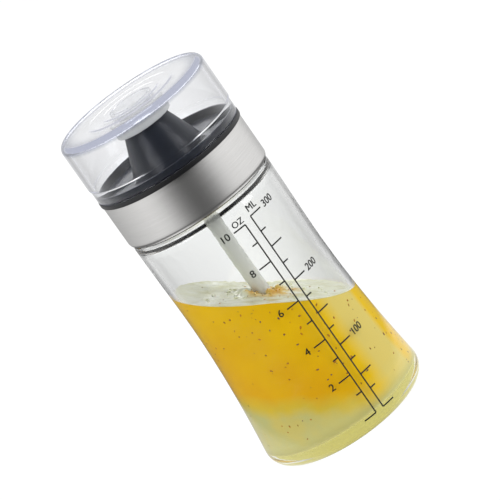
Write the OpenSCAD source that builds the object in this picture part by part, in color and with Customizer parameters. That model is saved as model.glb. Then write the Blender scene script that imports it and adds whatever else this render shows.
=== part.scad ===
// Salad dressing shaker bottle: a glass bottle with a screw lid, a pouring cone under a clear cap,
// and a mixing wheel on a rod. Millimetres, +Z up, origin on the surface the bottle stands on.
// Heights are stacked from the base up, and diameters are stacked from the neck outwards.

/* [Glass bottle] */
// Diameter of the foot, at the top of the heel
base_d = 75.2; // [68:0.2:90]
// Diameter at the waist, the narrowest part of the body
waist_d = 65.5; // [60:0.1:74]
// Height of the waist above the table
waist_z = 74.5; // [60:0.5:90]
// Height of the shoulder's top above the table
body_h = 114.1; // [100:0.1:150]
// Rounding of the heel, where the side meets the base
heel_r = 8; // [4:0.5:10]
// Rounding of the shoulder's outer edge
shoulder_r = 2.4; // [1.6:0.1:6]
// How far the shoulder stands out past the neck
shoulder_w = 4.3; // [3:0.1:6]
// Wall of the body
glass_wall = 2.4; // [1.8:0.1:3.5]
// Thickness of the glass at the edge of the floor
floor_t = 6.5; // [4.5:0.5:9]
// Rounding inside the glass, where the side meets the floor
inner_heel = 5.5; // [3:0.5:8]
// How far the floor rises to its middle
dome_h = 9; // [4:0.5:11]
// Height of the hollow under the base
punt_h = 7; // [3:0.5:9]
// Width of the flat ring that the bottle stands on
ring_w = 1.8; // [1:0.1:4]
// Outer diameter of the neck, under its thread
neck_d = 58; // [52:0.5:66]
// Height of the neck above the shoulder
neck_h = 18; // [15:0.5:26]
// Wall of the neck
neck_wall = 2.8; // [2:0.1:3.4]
// Height of the bead round the foot of the neck
bead_h = 0.8; // [0.4:0.1:1.2]

/* [Lid collar] */
// Room for the thread between the neck and the liner
thread_room = 2; // [1.5:0.1:3]
// Wall of the black liner
liner_wall = 2.5; // [1.5:0.1:4]
// Thickness of the steel sleeve
sleeve_t = 0.6; // [0.4:0.1:1]
// Outer rounding of the sleeve's rolled lower edge
roll_r = 2.5; // [1.2:0.1:3]
// Width of the sleeve's lip that turns in under the liner
lip_w = 2.9; // [2:0.1:3.2]
// Thickness of the liner's ledge, which presses on the holder
ledge_t = 1.7; // [1.2:0.1:3]
// Height of the liner's ring, the black line under the cap
ring_h = 2.2; // [1.6:0.1:4]
// How far the ring's underside lies below the ledge's top
ring_drop = 1; // [0.8:0.1:1.6]
// How far that ring stands out past the sleeve
flange_over = 0.5; // [0.2:0.1:1]
// Gap between the shoulder and the sleeve
shoulder_gap = 0.4; // [0.3:0.1:1.5]

/* [Gasket and mixer] */
// Thickness of the gasket on the glass rim
gasket_t = 1.3; // [0.8:0.1:2.5]
// How far the gasket's inner lip hangs down in the mouth
gasket_lip = 2; // [1:0.5:4]
// Thickness of the holder's clamped flange
holder_t = 1.2; // [1:0.1:3]
// Wall of the holder's skirt and of its spigot
holder_wall = 1.4; // [1:0.1:2]
// Depth of the holder's skirt below the glass rim
skirt_h = 10; // [6:0.5:14]
// Width of each spoke of the holder
spoke_w = 2.4; // [1.5:0.1:4]
// Depth of each spoke of the holder
spoke_h = 7; // [4:0.5:10]
// Outer diameter of the mixing rod
rod_d = 6.8; // [5:0.1:9]
// Wall of the mixing rod
rod_wall = 1.3; // [0.8:0.1:2]
// Wall of the two sockets that the rod is pushed into
socket_wall = 1.6; // [1:0.1:2.5]
// Gap between the middle of the floor and the mixing head
head_floor_gap = 3; // [2:0.1:8]
// Depth of the mixing head's socket
head_socket_h = 12; // [8:0.5:18]
// Thickness of the mixing head's wheel
wheel_t = 2; // [1.2:0.1:3]
// Width of the wheel's rings
wheel_ring_w = 2.2; // [1.4:0.1:3]
// Number of the wheel's spokes
wheel_spokes = 8; // [4:1:12]

/* [Pourer] */
// Height of the dish's rim above its floor
rim_h = 1.5; // [1.2:0.1:4]
// Thickness of the dish's floor
dish_floor_t = 1.2; // [1:0.1:2]
// Wall of the dish's rim
dish_wall = 1.3; // [1:0.1:2]
// Diameter of the cone at its foot
cone_foot_d = 34.2; // [28:0.1:40]
// Outer diameter of the cone's mouth
cone_mouth_d = 17.9; // [12:0.1:24]
// Height of the cone above the dish's floor
cone_h = 19.8; // [14:0.1:26]
// Wall of the cone
cone_wall = 1.4; // [1:0.1:2.2]
// Rounding where the cone meets the dish's floor
cone_fillet = 1.6; // [0.6:0.1:3]

/* [Clear cap] */
// Wall of the cap's skirt, round the dish
cap_wall = 2.4; // [2:0.1:3]
// Thickness of the cap's top
cap_top_t = 2.8; // [1.8:0.1:4]
// Rounding of the cap's upper edge
cap_round = 2.8; // [2.6:0.1:5]
// Height of the narrower band at the bottom of the cap
cap_band_h = 6.4; // [4:0.1:10]
// How far that band is set in
cap_band_in = 0.5; // [0.2:0.1:0.8]
// Free height between the spout seal and the cap's top
cap_room = 3.3; // [2:0.1:10]
// Diameter of the thicker disc under the cap's top
cap_disc_d = 41; // [34:0.5:48]
// Diameter of the second, smaller disc under that one
cap_boss_d = 27.4; // [24:0.2:32]
// Thickness that each of those two discs adds
cap_disc_t = 0.5; // [0.2:0.1:0.8]
// Thickness of the spout seal over the cone's mouth
seal_t = 2.2; // [1.8:0.1:5]
// How far the seal reaches down round the cone's mouth
seal_overlap = 2.6; // [2:0.1:6]
// Diameter of the seal
seal_d = 25.6; // [24:0.2:32]
// Wall of the cap's inner ring, which holds the seal
seal_ring_wall = 1.4; // [0.8:0.1:2]

/* [Clearances] */
// Radial clearance between pieces that lift or turn past each other
slide_gap = 0.3; // [0.25:0.05:0.6]
// Radial clearance between pieces that are pressed together
press_gap = 0.05; // [0.02:0.01:0.1]
// Vertical clearance under and over the turning collar
turn_gap = 0.3; // [0.2:0.05:0.6]
// Radial clearance of the mixer in the glass neck
mouth_gap = 1; // [0.8:0.1:2]

/* [Hidden] */
$fn = 120;
eps = 0.01;
arc_n = 8;
flare_n = 18;
flare_power = 1.8;

// Radii of the glass, from the neck outwards
neck_r = neck_d / 2;
mouth_r = neck_r - neck_wall;
top_r = neck_r + shoulder_w;
foot_r = base_d / 2;
waist_r = waist_d / 2;
shoulder_round = min(shoulder_r, shoulder_w - 0.3);

// Heights from the base up
rim_z = body_h + neck_h;
holder_z = rim_z + gasket_t;
holder_top = holder_z + holder_t;
ledge_z = holder_top + turn_gap;
ledge_top = ledge_z + ledge_t;
ring_z = ledge_top - ring_drop;
ring_top = ring_z + ring_h;
dish_z = ledge_top + turn_gap * 2 / 3;
dish_floor = dish_z + dish_floor_t;
dish_top = dish_floor + rim_h;
mouth_z = dish_floor + cone_h;
seal_top = mouth_z + seal_t;
cap_inner_top = seal_top + cap_room;
cap_top = cap_inner_top + cap_top_t;
cap_z = ring_top + turn_gap;

// Radii of the lid, from the neck outwards
liner_r = neck_r + thread_room;
liner_out = liner_r + liner_wall;
sleeve_in = liner_out + press_gap;
sleeve_r = sleeve_in + sleeve_t;
flange_r = sleeve_r + flange_over;
cap_r = flange_r + slide_gap;
cap_in = cap_r - cap_wall;
dish_r = cap_in - slide_gap;
pocket_r = dish_r + slide_gap;
sleeve_z = body_h + shoulder_gap;

// Radii inside the neck, from the glass inwards
skirt_r = mouth_r - mouth_gap;
skirt_in = skirt_r - holder_wall;
clamp_r = liner_r - slide_gap;
hole_r = clamp_r - 1.8;
boss_r = hole_r - slide_gap;
boss_in = boss_r - 1.35;
spigot_r = boss_in - press_gap;
spigot_in = spigot_r - holder_wall;

// The rod and its two sockets
rod_r = rod_d / 2;
socket_r = rod_r + press_gap;
hub_r = socket_r + socket_wall;
head_z = floor_t + dome_h + head_floor_gap;
rod_z = head_z + socket_wall;
rod_top = holder_top - socket_wall;
wheel_r = skirt_r - mouth_gap - press_gap * 4;

// A radius r about [x, z] drawn from angle a to angle b
function arc(x, z, r, a, b, n = arc_n) =
    [for (i = [0 : n]) [x + r * cos(a + (b - a) * i / n), z + r * sin(a + (b - a) * i / n)]];

// Smooth step from 0 to 1
function ease(t) = let (u = max(0, min(1, t))) u * u * (3 - 2 * u);

// The side of the body flares to the foot below the waist and swells a little above it
flare_slope = flare_power * (foot_r - waist_r) / (waist_z - heel_r);
heel_tilt = atan(flare_slope);
foot_z = heel_r * (1 + sin(heel_tilt));
heel_x = foot_r - heel_r * cos(heel_tilt);
side_top = body_h - shoulder_round;
function side_r(z) = z < waist_z
    ? waist_r + (foot_r - waist_r) * pow((waist_z - z) / (waist_z - foot_z), flare_power)
    : waist_r + (top_r - waist_r) * ease((z - waist_z) / (side_top - waist_z));
function steps(a, b, n) = [for (i = [1 : n - 1]) a + (b - a) * i / n];

// Inside of the glass: heel, side and the draw-in to the mouth
inner_z = floor_t + inner_heel;
inner_turn = body_h - 6;
mouth_turn = body_h + 2;
function inside_r(z) = z < inner_turn
    ? side_r(z) - glass_wall
    : mouth_r + (side_r(inner_turn) - glass_wall - mouth_r)
        * (1 - ease((z - inner_turn) / (mouth_turn - inner_turn)));

stand_in = heel_x - ring_w;
rim_round = 1.1;
bead_z = body_h + 3;

module glass_bottle() {
    floor_r = inside_r(inner_z) - inner_heel;
    outside = concat(
        [for (i = [0 : arc_n]) let (q = i / arc_n) [stand_in * q, punt_h * (1 - q * q)]],
        arc(heel_x, heel_r, heel_r, -90, heel_tilt),
        [for (z = steps(foot_z, waist_z, flare_n)) [side_r(z), z]],
        [for (z = steps(waist_z, side_top, flare_n / 2)) [side_r(z), z]],
        arc(top_r - shoulder_round, side_top, shoulder_round, 0, 90),
        arc(neck_r, bead_z, bead_h, -90, 90),
        arc(neck_r - rim_round, rim_z - rim_round, rim_round, 0, 90));
    inside = concat(
        arc(mouth_r + rim_round, rim_z - rim_round, rim_round, 90, 180),
        [for (z = steps(mouth_turn, inner_turn, flare_n / 2)) [inside_r(z), z]],
        [for (z = steps(inner_turn, inner_z, flare_n)) [inside_r(z), z]],
        arc(floor_r, inner_z, inner_heel, 0, -90),
        [for (i = [1 : arc_n]) let (q = 1 - i / arc_n) [floor_r * q, floor_t + dome_h * (1 - q * q)]]);
    color([0.86, 0.94, 0.93, 0.35])
        rotate_extrude() polygon(concat(outside, inside));
}

module neck_gasket() {
    lip_in = skirt_r + slide_gap / 2;
    lip_out = mouth_r - slide_gap;
    color([0.82, 0.84, 0.83])
        rotate_extrude() polygon([
            [lip_in, rim_z - gasket_lip], [lip_out, rim_z - gasket_lip], [lip_out, rim_z],
            [neck_r, rim_z], [neck_r, holder_z], [lip_in, holder_z]]);
}

module mixer_holder() {
    skirt_z = rim_z - skirt_h;
    spigot_top = dish_z - slide_gap / 2;
    color([0.30, 0.33, 0.38]) {
        rotate_extrude() polygon([
            [skirt_in, skirt_z], [skirt_r, skirt_z], [skirt_r, holder_z], [clamp_r, holder_z],
            [clamp_r, holder_top], [spigot_r, holder_top], [spigot_r, spigot_top],
            [spigot_in, spigot_top], [spigot_in, holder_top], [skirt_in, holder_top]]);
        difference() {
            union() {
                translate([0, 0, skirt_z]) cylinder(r = hub_r, h = holder_top - skirt_z);
                for (a = [0, 90])
                    rotate([0, 0, a]) translate([-skirt_in - eps, -spoke_w / 2, skirt_z + 1])
                        cube([2 * (skirt_in + eps), spoke_w, spoke_h]);
            }
            translate([0, 0, skirt_z - 1]) cylinder(r = socket_r, h = rod_top - skirt_z + 1);
        }
    }
}

module mixing_rod() {
    color([0.80, 0.86, 0.82, 0.6])
        translate([0, 0, rod_z]) difference() {
            cylinder(r = rod_r, h = rod_top - rod_z);
            translate([0, 0, -1]) cylinder(r = rod_r - rod_wall, h = rod_top - rod_z + 2);
        }
}

module wheel_ring(r) {
    difference() {
        cylinder(r = r, h = wheel_t);
        translate([0, 0, -1]) cylinder(r = r - wheel_ring_w, h = wheel_t + 2);
    }
}

module mixing_head() {
    color([0.80, 0.86, 0.82])
        translate([0, 0, head_z]) difference() {
            union() {
                cylinder(r = hub_r, h = head_socket_h);
                wheel_ring(wheel_r);
                wheel_ring((wheel_r + hub_r + wheel_ring_w) / 2);
                for (i = [0 : wheel_spokes - 1])
                    rotate([0, 0, i * 360 / wheel_spokes]) translate([0, -wheel_ring_w / 2, 0])
                        cube([wheel_r - wheel_ring_w / 2, wheel_ring_w, wheel_t]);
            }
            translate([0, 0, socket_wall]) cylinder(r = socket_r, h = head_socket_h);
        }
}

// The cone's wall leans in from the foot to the mouth
cone_foot_r = cone_foot_d / 2;
cone_mouth_r = cone_mouth_d / 2;
cone_lean = (cone_foot_r - cone_mouth_r) / cone_h;
function cone_r(z) = cone_mouth_r + cone_lean * (mouth_z - z);

module pourer() {
    dish_in = dish_r - dish_wall;
    corner = 0.8;
    edge = 0.4;
    lip = cone_wall / 2;
    lean = atan(cone_lean);
    color([0.20, 0.22, 0.27])
        rotate_extrude() polygon(concat(
            [[cone_foot_r - cone_wall, dish_z], [boss_in, dish_z], [boss_in, holder_top + press_gap],
             [boss_r, holder_top + press_gap], [boss_r, dish_z]],
            arc(dish_r - edge, dish_z + edge, edge, -90, 0),
            arc(dish_r - edge, dish_top - edge, edge, 0, 90),
            [[dish_in, dish_top]],
            arc(dish_in - corner, dish_floor + corner, corner, 0, -90),
            [for (i = [0 : arc_n]) let (q = i / arc_n)
                [cone_r(dish_floor + cone_fillet * q) + cone_fillet * (1 - q) * (1 - q),
                 dish_floor + cone_fillet * q * q + eps]],
            arc(cone_mouth_r - lip, mouth_z - lip, lip, lean, 180 - lean)));
}

module collar_sleeve() {
    roll_in = roll_r - sleeve_t;
    color([0.74, 0.75, 0.76])
        rotate_extrude() polygon(concat(
            [[sleeve_r - lip_w, sleeve_z + sleeve_t], [sleeve_r - lip_w, sleeve_z]],
            arc(sleeve_r - roll_r, sleeve_z + roll_r, roll_r, -90, 0),
            [[sleeve_r, ring_z], [sleeve_in, ring_z]],
            arc(sleeve_r - roll_r, sleeve_z + roll_r, roll_in, 0, -90)));
}

module collar_liner() {
    corner = roll_r - sleeve_t;
    liner_z = sleeve_z + sleeve_t + press_gap;
    edge = 0.4;
    color([0.07, 0.07, 0.08])
        rotate_extrude() polygon(concat(
            [[liner_r, liner_z]],
            arc(liner_out - corner, liner_z + corner, corner, -90, 0),
            [[liner_out, ring_z]],
            arc(flange_r - edge, ring_z + edge, edge, -90, 0),
            arc(flange_r - edge, ring_top - edge, edge, 0, 90),
            [[pocket_r, ring_top], [pocket_r, ledge_top], [hole_r, ledge_top], [hole_r, ledge_z],
             [liner_r, ledge_z]]));
}

// The seal's boss is pressed into the cap's inner ring
boss_seal_r = cone_mouth_r - 0.5;
seal_ring_in = boss_seal_r + press_gap;

module clear_cap() {
    band_r = cap_r - cap_band_in;
    inner_round = max(0.6, cap_round - cap_wall + 0.4);
    seal_ring_out = seal_ring_in + seal_ring_wall;
    disc_z = cap_inner_top - cap_disc_t;
    boss_z = disc_z - cap_disc_t;
    band_z = cap_z + cap_band_h;
    edge = 0.4;
    color([0.90, 0.91, 0.94, 0.4])
        rotate_extrude() polygon(concat(
            [[0, boss_z], [seal_ring_in, boss_z], [seal_ring_in, seal_top + press_gap],
             [seal_ring_out, seal_top + press_gap], [seal_ring_out, boss_z],
             [cap_boss_d / 2, boss_z], [cap_boss_d / 2 + cap_disc_t, disc_z],
             [cap_disc_d / 2, disc_z], [cap_disc_d / 2 + cap_disc_t, cap_inner_top]],
            arc(cap_in - inner_round, cap_inner_top - inner_round, inner_round, 90, 0),
            [[cap_in, cap_z]],
            arc(band_r - edge, cap_z + edge, edge, -90, 0),
            [[band_r, band_z], [cap_r, band_z + cap_band_in]],
            arc(cap_r - cap_round, cap_top - cap_round, cap_round, 0, 90),
            [[0, cap_top]]));
}

module spout_seal() {
    seal_r = seal_d / 2;
    side_gap = slide_gap / 2;
    seal_z = mouth_z - seal_overlap;
    hollow_r = cone_mouth_r - cone_wall - 0.6;
    hollow_z = mouth_z + seal_t / 2;
    boss_h = cap_room - 2 * cap_disc_t - slide_gap;
    edge = 0.5;
    color([0.88, 0.90, 0.90, 0.7])
        rotate_extrude() polygon(concat(
            [[0, hollow_z], [hollow_r, hollow_z], [hollow_r, mouth_z], [cone_r(mouth_z) + side_gap, mouth_z],
             [cone_r(seal_z) + side_gap, seal_z]],
            arc(seal_r - edge, seal_z + edge, edge, -90, 0),
            arc(seal_r - edge, seal_top - edge, edge, 0, 90),
            [[boss_seal_r, seal_top], [boss_seal_r, seal_top + boss_h], [0, seal_top + boss_h]]));
}

glass_bottle();
neck_gasket();
mixer_holder();
mixing_rod();
mixing_head();
pourer();
collar_sleeve();
collar_liner();
clear_cap();
spout_seal();
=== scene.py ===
import math
import random

import bpy
from mathutils import Matrix, Vector


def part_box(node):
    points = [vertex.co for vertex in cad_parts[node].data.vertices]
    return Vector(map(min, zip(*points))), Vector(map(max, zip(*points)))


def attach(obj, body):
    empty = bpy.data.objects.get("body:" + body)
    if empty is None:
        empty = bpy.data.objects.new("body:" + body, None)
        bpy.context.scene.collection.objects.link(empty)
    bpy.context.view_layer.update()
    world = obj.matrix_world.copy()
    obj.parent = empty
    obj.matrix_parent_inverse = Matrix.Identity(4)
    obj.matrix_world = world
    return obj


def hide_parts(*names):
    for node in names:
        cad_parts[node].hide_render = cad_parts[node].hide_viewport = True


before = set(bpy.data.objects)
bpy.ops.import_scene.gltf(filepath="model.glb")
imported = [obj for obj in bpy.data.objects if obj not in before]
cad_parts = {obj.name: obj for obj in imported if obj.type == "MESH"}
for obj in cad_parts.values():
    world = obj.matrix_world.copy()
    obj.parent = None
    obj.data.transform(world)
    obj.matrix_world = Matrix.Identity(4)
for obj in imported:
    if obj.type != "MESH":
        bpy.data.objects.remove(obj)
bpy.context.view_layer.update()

# Real sizes in metres; widths and heights come from the frame where a node gives them
MM = 0.001
_, GLASS_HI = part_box("glass_bottle")
SLEEVE_LO, SLEEVE_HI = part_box("collar_sleeve")
LINER_LO, LINER_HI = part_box("collar_liner")
POURER_LO, POURER_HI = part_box("pourer")
CAP_LO, CAP_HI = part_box("clear_cap")
ROD_LO, ROD_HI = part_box("mixing_rod")
SEAL_LO, SEAL_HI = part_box("spout_seal")
GASKET_LO, GASKET_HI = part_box("neck_gasket")

# Glass body
FOOT_R = 37.6 * MM
WAIST_R = 32.75 * MM
WAIST_Z = 74.5 * MM
NECK_R = 29 * MM
SHOULDER_W = 4.3 * MM
BODY_H = 114.1 * MM
HEEL_R = 8 * MM
INNER_HEEL = 5.5 * MM
SHOULDER_ROUND = 1.2 * MM
GLASS_WALL = 2.4 * MM
FLOOR_T = 6.5 * MM
DOME_H = 9 * MM
PUNT_H = 7 * MM
RING_W = 1.8 * MM
NECK_WALL = 2.8 * MM
BEAD_H = 0.8 * MM
FLARE_POWER = 1.8
TOP_R = NECK_R + SHOULDER_W
MOUTH_R = NECK_R - NECK_WALL

# The dressing's surface, as the photograph shows it swung in the leaning bottle
LEVEL_Z = 65.8 * MM
LEVEL_SLOPE = 0.60
LEVEL_LEAN = -0.105
LEVEL_TWIST = 4.5
LEVEL_CURL = 0.10
STIR_PLACE = (3 * MM, -4 * MM, 0)

# Camera: the angle, distance and roll of the photograph
CAM_ELEVATION = math.radians(14.6)
CAM_ROLL = math.radians(35)
CAM_DISTANCE = 1.666
CAM_LENS = 289.2
CAM_AIM = Vector((5.5 * MM, 0, 84.7 * MM))


# Shapes of revolution

def arc(x, z, r, a, b, n=10):
    """Points of a circle of radius r about (x, z), from angle a to b in degrees."""
    angles = [math.radians(a + (b - a) * i / n) for i in range(n + 1)]
    return [(x + r * math.cos(t), z + r * math.sin(t)) for t in angles]


def between(a, b, n):
    """The n - 1 values that divide the stretch from a to b."""
    return [a + (b - a) * i / n for i in range(1, n)]


def ease(t):
    """0 up to 0, 1 from 1 on, and a smooth rise between."""
    t = max(0.0, min(1.0, t))
    return t * t * (3 - 2 * t)


def deselect():
    """Leaves edit mode and selects nothing, so the next operator acts on its own piece alone."""
    if bpy.context.object is not None and bpy.context.object.mode != "OBJECT":
        bpy.ops.object.mode_set(mode="OBJECT")
    bpy.ops.object.select_all(action="DESELECT")


def lathe(name, outline, steps=144, smooth=35):
    """Draws the outline of (radius, height) points one vertex after another, then spins it round the axis."""
    deselect()
    r0, z0 = outline[0]
    bpy.ops.mesh.primitive_plane_add(size=MM)
    piece = bpy.context.object
    piece.name = name
    bpy.ops.object.mode_set(mode="EDIT")
    bpy.ops.mesh.select_all(action="SELECT")
    bpy.ops.mesh.merge(type="CENTER")
    bpy.ops.transform.translate(value=(r0, 0, z0))
    for (ra, za), (rb, zb) in zip(outline, outline[1:]):
        bpy.ops.mesh.extrude_region_move(TRANSFORM_OT_translate={"value": (rb - ra, 0, zb - za)})
    bpy.ops.mesh.select_all(action="SELECT")
    bpy.ops.mesh.spin(steps=steps, angle=2 * math.pi, center=(0, 0, 0), axis=(0, 0, 1), use_auto_merge=True)
    bpy.ops.mesh.select_all(action="SELECT")
    bpy.ops.mesh.remove_doubles(threshold=0.002 * MM)
    bpy.ops.mesh.normals_make_consistent(inside=False)
    bpy.ops.object.mode_set(mode="OBJECT")
    bpy.ops.object.shade_smooth_by_angle(angle=math.radians(smooth))
    return piece


def finish_piece(piece, material, body, node=None):
    """Gives a piece its material and its place in the frame."""
    piece.data.materials.clear()
    piece.data.materials.append(material)
    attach(piece, body)
    if node:
        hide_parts(node)
    return piece


# Outline of the glass, outside and inside

FLARE_SLOPE = FLARE_POWER * (FOOT_R - WAIST_R) / (WAIST_Z - HEEL_R)
HEEL_TILT = math.atan(FLARE_SLOPE)
FOOT_Z = HEEL_R * (1 + math.sin(HEEL_TILT))
HEEL_X = FOOT_R - HEEL_R * math.cos(HEEL_TILT)
SIDE_TOP = BODY_H - SHOULDER_ROUND
# Between these two heights the inner wall turns in to the neck
INNER_TURN = BODY_H - 3.8 * MM
MOUTH_TURN = BODY_H + 2.0 * MM


def side_r(z):
    """Outer radius of the glass body at height z."""
    if z < FOOT_Z:
        drop = HEEL_R - z
        return HEEL_X + math.sqrt(max(0.0, HEEL_R ** 2 - drop ** 2))
    if z < WAIST_Z:
        return WAIST_R + (FOOT_R - WAIST_R) * ((WAIST_Z - z) / (WAIST_Z - FOOT_Z)) ** FLARE_POWER
    return WAIST_R + (TOP_R - WAIST_R) * ease((z - WAIST_Z) / (SIDE_TOP - WAIST_Z))


def inside_r(z):
    """Inner radius of the glass at height z, from the floor to the mouth."""
    if z < FLOOR_T + INNER_HEEL:
        drop = FLOOR_T + INNER_HEEL - z
        return FLOOR_R + math.sqrt(max(0.0, INNER_HEEL ** 2 - drop ** 2))
    if z < INNER_TURN:
        return side_r(z) - GLASS_WALL
    turned = ease((z - INNER_TURN) / (MOUTH_TURN - INNER_TURN))
    return MOUTH_R + (side_r(INNER_TURN) - GLASS_WALL - MOUTH_R) * (1 - turned)


FLOOR_R = side_r(FLOOR_T + INNER_HEEL) - GLASS_WALL - INNER_HEEL


def floor_z(r):
    """Height of the domed floor inside the glass."""
    return FLOOR_T + DOME_H * (1 - min(1.0, r / FLOOR_R) ** 2)


def fill_height(volume_ml):
    """Height of a level surface when the bottle holds that volume."""
    z, step, held = FLOOR_T, 0.05 * MM, 0.0
    while held < volume_ml * 1e-6:
        dome_r = FLOOR_R * math.sqrt(max(0.0, 1 - (z - FLOOR_T) / DOME_H))
        held += math.pi * (inside_r(z) ** 2 - dome_r ** 2) * step
        z += step
    return z


# Shader node groups shared by the materials

def group_with(name, inputs, outputs):
    """An empty shader node group with these number sockets."""
    tree = bpy.data.node_groups.new(name, "ShaderNodeTree")
    for label, value in inputs:
        socket = tree.interface.new_socket(label, in_out="INPUT", socket_type="NodeSocketFloat")
        socket.default_value = value
    for label in outputs:
        tree.interface.new_socket(label, in_out="OUTPUT", socket_type="NodeSocketFloat")
    return tree, tree.nodes.new("NodeGroupInput"), tree.nodes.new("NodeGroupOutput")


def make_grain_group():
    """Fine moulded grain: a height for bump and a slow tone from 0 to 1."""
    tree, given, result = group_with("moulded_grain", [("Scale", 2500.0)], ["Height", "Tone"])
    place = tree.nodes.new("ShaderNodeTexCoord")
    fine = tree.nodes.new("ShaderNodeTexNoise")
    slow = tree.nodes.new("ShaderNodeTexNoise")
    fine.inputs["Detail"].default_value = 3
    slow.inputs["Scale"].default_value = 60
    slow.inputs["Detail"].default_value = 4
    tree.links.new(place.outputs["Object"], fine.inputs["Vector"])
    tree.links.new(place.outputs["Object"], slow.inputs["Vector"])
    tree.links.new(given.outputs["Scale"], fine.inputs["Scale"])
    tree.links.new(fine.outputs["Fac"], result.inputs["Height"])
    tree.links.new(slow.outputs["Fac"], result.inputs["Tone"])
    return tree


def make_smudge_group():
    """Faint handling marks: a roughness between Clean and Smudged."""
    tree, given, result = group_with("handling_smudges", [("Clean", 0.0), ("Smudged", 0.05)], ["Roughness"])
    place = tree.nodes.new("ShaderNodeTexCoord")
    cloud = tree.nodes.new("ShaderNodeTexNoise")
    cloud.inputs["Scale"].default_value = 45
    cloud.inputs["Detail"].default_value = 5
    spread = tree.nodes.new("ShaderNodeMapRange")
    spread.inputs["From Min"].default_value = 0.45
    spread.inputs["From Max"].default_value = 0.75
    tree.links.new(place.outputs["Object"], cloud.inputs["Vector"])
    tree.links.new(cloud.outputs["Fac"], spread.inputs["Value"])
    tree.links.new(given.outputs["Clean"], spread.inputs["To Min"])
    tree.links.new(given.outputs["Smudged"], spread.inputs["To Max"])
    tree.links.new(spread.outputs["Result"], result.inputs["Roughness"])
    return tree


GRAIN = make_grain_group()
SMUDGES = make_smudge_group()


# Materials

def srgb(red, green, blue):
    """A colour written as it looks on a screen, 0 to 255, in Blender's linear values."""
    def linear(value):
        value = value / 255
        return value / 12.92 if value <= 0.04045 else ((value + 0.055) / 1.055) ** 2.4
    return (linear(red), linear(green), linear(blue), 1.0)


def new_material(name, **sockets):
    """A material with one Principled shader; sockets are its constants, with _ for a space."""
    material = bpy.data.materials.new(name)
    material.use_nodes = True
    tree = material.node_tree
    tree.nodes.clear()
    output = tree.nodes.new("ShaderNodeOutputMaterial")
    shader = tree.nodes.new("ShaderNodeBsdfPrincipled")
    tree.links.new(shader.outputs[0], output.inputs["Surface"])
    for label, value in sockets.items():
        shader.inputs[label.replace("_", " ")].default_value = value
    return material, tree, shader, output


def add_group(tree, group, **values):
    """Places a node group; values are its inputs."""
    node = tree.nodes.new("ShaderNodeGroup")
    node.node_tree = group
    for label, value in values.items():
        node.inputs[label].default_value = value
    return node


def add_bump(tree, shader, height, strength, distance):
    bump = tree.nodes.new("ShaderNodeBump")
    bump.inputs["Strength"].default_value = strength
    bump.inputs["Distance"].default_value = distance
    tree.links.new(height, bump.inputs["Height"])
    tree.links.new(bump.outputs["Normal"], shader.inputs["Normal"])


def add_ramp(tree, factor, stops):
    """A colour by the factor; each stop is a position and a colour, or one number for a grey."""
    ramp = tree.nodes.new("ShaderNodeValToRGB")
    while len(ramp.color_ramp.elements) < len(stops):
        ramp.color_ramp.elements.new(0.5)
    for element, (position, colour) in zip(ramp.color_ramp.elements, stops):
        element.position = position
        element.color = colour if isinstance(colour, tuple) else (colour, colour, colour, 1)
    tree.links.new(factor, ramp.inputs["Fac"])
    return ramp.outputs["Color"]


def object_place(tree):
    """The place on the piece, which is the place in the frame too."""
    return tree.nodes.new("ShaderNodeTexCoord").outputs["Object"]


def split_axes(tree, vector):
    split = tree.nodes.new("ShaderNodeSeparateXYZ")
    tree.links.new(vector, split.inputs[0])
    return [split.outputs[axis] for axis in "XYZ"]


def add_noise(tree, scale, detail, vector=None):
    noise = tree.nodes.new("ShaderNodeTexNoise")
    noise.inputs["Scale"].default_value = scale
    noise.inputs["Detail"].default_value = detail
    tree.links.new(vector or object_place(tree), noise.inputs["Vector"])
    return noise.outputs["Fac"]


def add_math(tree, operation, *values):
    """A sum of node outputs and plain numbers."""
    node = tree.nodes.new("ShaderNodeMath")
    node.operation = operation
    for socket, value in zip(node.inputs, values):
        if isinstance(value, (int, float)):
            socket.default_value = value
        else:
            tree.links.new(value, socket)
    return node.outputs[0]


def add_mix(tree, factor, first, second, blend="MIX"):
    """Mixes two colours; the factor and the colours are nodes' outputs or plain values."""
    mix = tree.nodes.new("ShaderNodeMix")
    mix.data_type = "RGBA"
    mix.blend_type = blend
    for label, value in (("Factor", factor), ("A", first), ("B", second)):
        if isinstance(value, (int, float, tuple)):
            mix.inputs[label].default_value = value
        else:
            tree.links.new(value, mix.inputs[label])
    return mix.outputs["Result"]


def add_range(tree, value, low, high, least=0.0, most=1.0, smooth=False):
    """Stretches low to high of a value over least to most, and holds it there beyond them."""
    spread = tree.nodes.new("ShaderNodeMapRange")
    spread.interpolation_type = "SMOOTHSTEP" if smooth else "LINEAR"
    for label, number in (("From Min", low), ("From Max", high), ("To Min", least), ("To Max", most)):
        spread.inputs[label].default_value = number
    tree.links.new(value, spread.inputs["Value"])
    return spread.outputs["Result"]


def axis_distance(tree, x, y):
    """Distance from the bottle's axis."""
    flat = tree.nodes.new("ShaderNodeCombineXYZ")
    tree.links.new(x, flat.inputs["X"])
    tree.links.new(y, flat.inputs["Y"])
    radius = tree.nodes.new("ShaderNodeVectorMath")
    radius.operation = "LENGTH"
    tree.links.new(flat.outputs[0], radius.inputs[0])
    return radius.outputs["Value"]


def turn_mask(tree, x, y, stops):
    """A value by direction round the axis: 0 and 1 are behind, 0.25 is the left and 0.5 the front."""
    turn = add_math(tree, "ARCTAN2", x, add_math(tree, "MULTIPLY", y, -1))
    return add_ramp(tree, add_range(tree, turn, -math.pi, math.pi), stops)


def mix_shaders(tree, factor, first, second, output):
    mix = tree.nodes.new("ShaderNodeMixShader")
    tree.links.new(factor, mix.inputs["Fac"])
    tree.links.new(first.outputs[0], mix.inputs[1])
    tree.links.new(second.outputs[0], mix.inputs[2])
    tree.links.new(mix.outputs[0], output.inputs["Surface"])


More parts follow.
